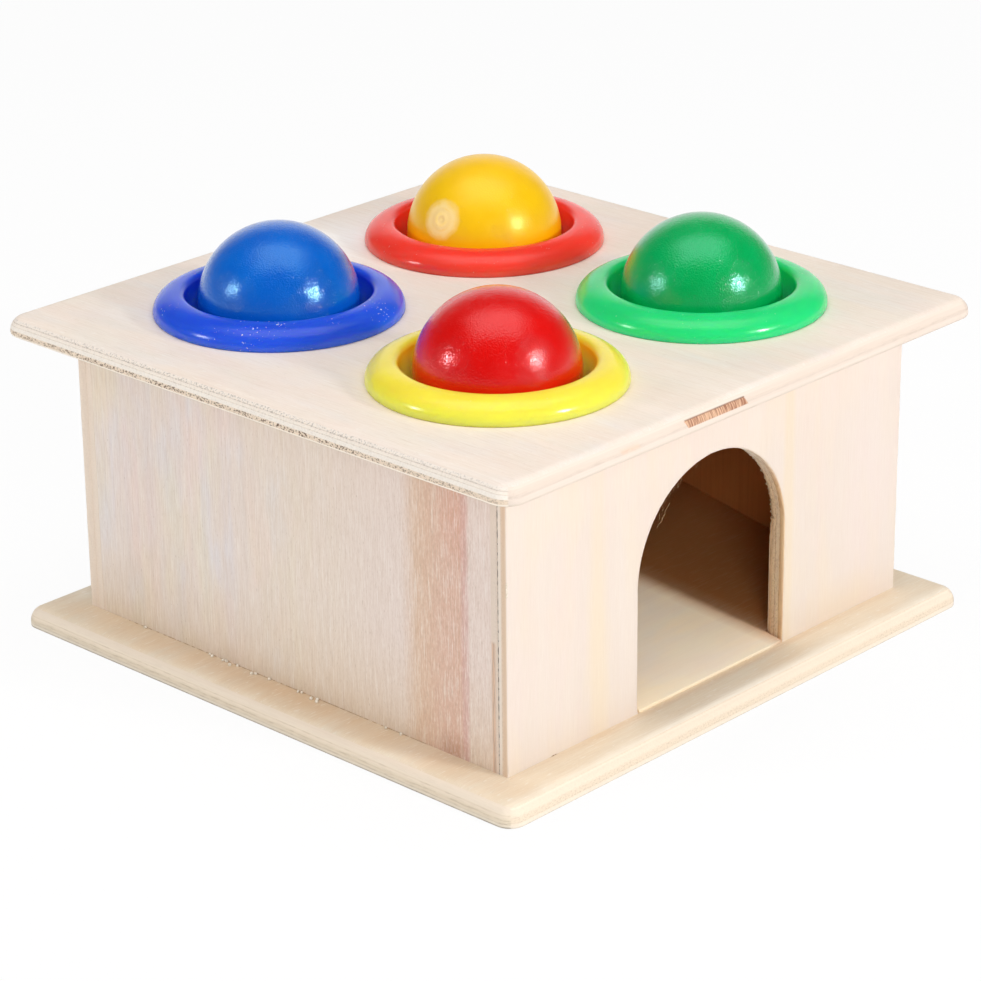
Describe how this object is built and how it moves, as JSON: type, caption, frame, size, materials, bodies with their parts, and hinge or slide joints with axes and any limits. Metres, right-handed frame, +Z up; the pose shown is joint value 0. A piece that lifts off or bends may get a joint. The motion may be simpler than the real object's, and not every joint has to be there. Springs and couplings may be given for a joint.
{
  "type": "pounding bench",
  "caption": "Square plywood box toy: painted balls held by elastic rings in its top, an arched doorway and a ramp inside that rolls a knocked-in ball out.",
  "frame": {"origin": "under the middle of the base plate, on the surface that it stands on", "axes": "+Z up, -Y out of the doorway, +X to the right of someone who looks into the doorway"},
  "size_m": [0.136, 0.136, 0.0842],
  "materials": {
    "top_ply": "sanded birch plywood, clear sealed",
    "base_ply": "sanded birch plywood, clear sealed",
    "wall_ply": "sanded plywood",
    "ramp_ply": "bare plywood",
    "paint_blue": "gloss paint on wood",
    "paint_yellow": "gloss paint on wood",
    "paint_green": "gloss paint on wood",
    "paint_red": "gloss paint on wood",
    "ring_blue": "soft glossy elastic plastic",
    "ring_red": "soft glossy elastic plastic",
    "ring_green": "soft glossy elastic plastic",
    "ring_yellow": "soft glossy elastic plastic"
  },
  "bodies": {
    "box": {"base_plate": "base_ply", "top_plate": "top_ply", "front_panel": "wall_ply", "back_panel": "wall_ply", "left_panel": "wall_ply", "right_panel": "wall_ply", "ramp_board": "ramp_ply", "yellow_ring": "ring_yellow", "green_ring": "ring_green", "blue_ring": "ring_blue", "red_ring": "ring_red"},
    "red_ball": {"red_ball": "paint_red"},
    "green_ball": {"green_ball": "paint_green"},
    "blue_ball": {"blue_ball": "paint_blue"},
    "yellow_ball": {"yellow_ball": "paint_yellow"}
  },
  "joints": [
    {"name": "red_ball_drop", "type": "slide", "parent": "box", "child": "red_ball", "axis": [0, 0, 1], "range_m": [-0.042, 0.02], "deforming": ["yellow_ring"]},
    {"name": "green_ball_drop", "type": "slide", "parent": "box", "child": "green_ball", "axis": [0, 0, 1], "range_m": [-0.042, 0.02], "deforming": ["green_ring"]},
    {"name": "blue_ball_drop", "type": "slide", "parent": "box", "child": "blue_ball", "axis": [0, 0, 1], "range_m": [-0.0313, 0.02], "deforming": ["blue_ring"]},
    {"name": "yellow_ball_drop", "type": "slide", "parent": "box", "child": "yellow_ball", "axis": [0, 0, 1], "range_m": [-0.0313, 0.02], "deforming": ["red_ring"]}
  ]
}
